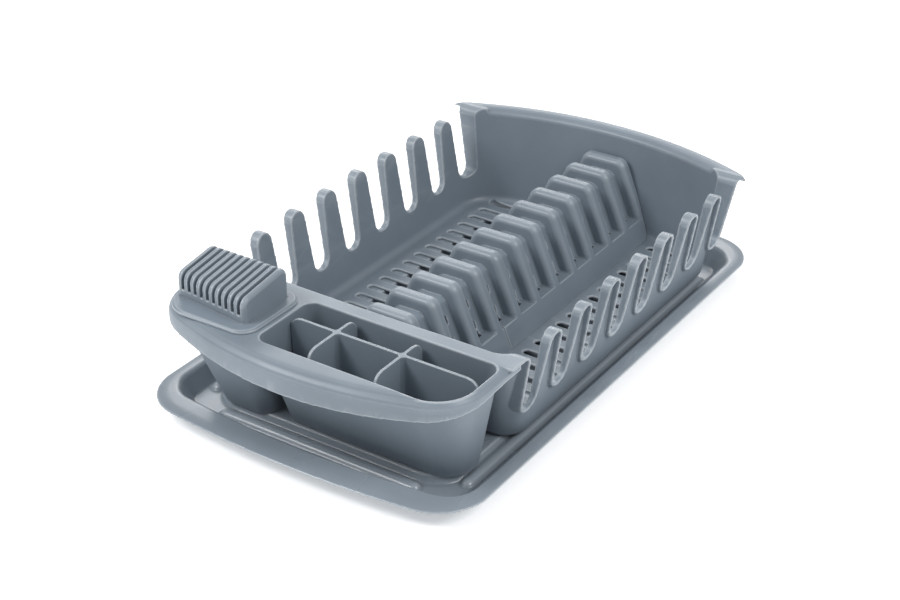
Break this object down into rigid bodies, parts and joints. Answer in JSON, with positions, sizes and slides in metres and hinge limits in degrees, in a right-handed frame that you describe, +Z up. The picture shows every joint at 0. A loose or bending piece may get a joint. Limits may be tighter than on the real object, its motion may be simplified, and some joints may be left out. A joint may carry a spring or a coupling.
{
  "type": "dish drying rack",
  "caption": "Plastic dish drying rack: moulded basket with plate ridges, side tines, cutlery well and knife block, standing in a wide drip tray.",
  "frame": {"origin": "middle of the drip tray's underside, on the counter", "axes": "+X along the rack away from the cutlery shelf, +Y across it towards the knife block side, +Z up"},
  "size_m": [0.4458, 0.2626, 0.1105],
  "materials": {
    "tray_plastic": "satin",
    "rack_plastic": "satin"
  },
  "bodies": {
    "tray": {"drip_tray": "tray_plastic"},
    "basket": {"rack_floor": "rack_plastic", "rack_side_left": "rack_plastic", "rack_side_right": "rack_plastic", "rack_tines": "rack_plastic", "rack_end_wall": "rack_plastic", "rack_near_wall": "rack_plastic", "rack_shelf": "rack_plastic", "rack_cutlery_well": "rack_plastic", "rack_knife_pocket": "rack_plastic", "rack_ridge_core": "rack_plastic", "rack_ridges": "rack_plastic"},
    "plate_rack": {"plate_rack_core": "rack_plastic", "plate_rack_ridges": "rack_plastic"},
    "divider": {"cutlery_divider": "rack_plastic"},
    "block": {"knife_block": "rack_plastic"}
  },
  "joints": [
    {"name": "basket_lift", "type": "slide", "parent": "tray", "child": "basket", "axis": [0, 0, 1], "range_m": [0, 0.06]},
    {"name": "plate_rack_lift", "type": "slide", "parent": "basket", "child": "plate_rack", "axis": [0, 0, 1], "range_m": [0, 0.1]},
    {"name": "divider_lift", "type": "slide", "parent": "basket", "child": "divider", "axis": [0, 0, 1], "range_m": [0, 0.09]},
    {"name": "block_lift", "type": "slide", "parent": "basket", "child": "block", "axis": [0, 0, 1], "range_m": [0, 0.04]}
  ]
}
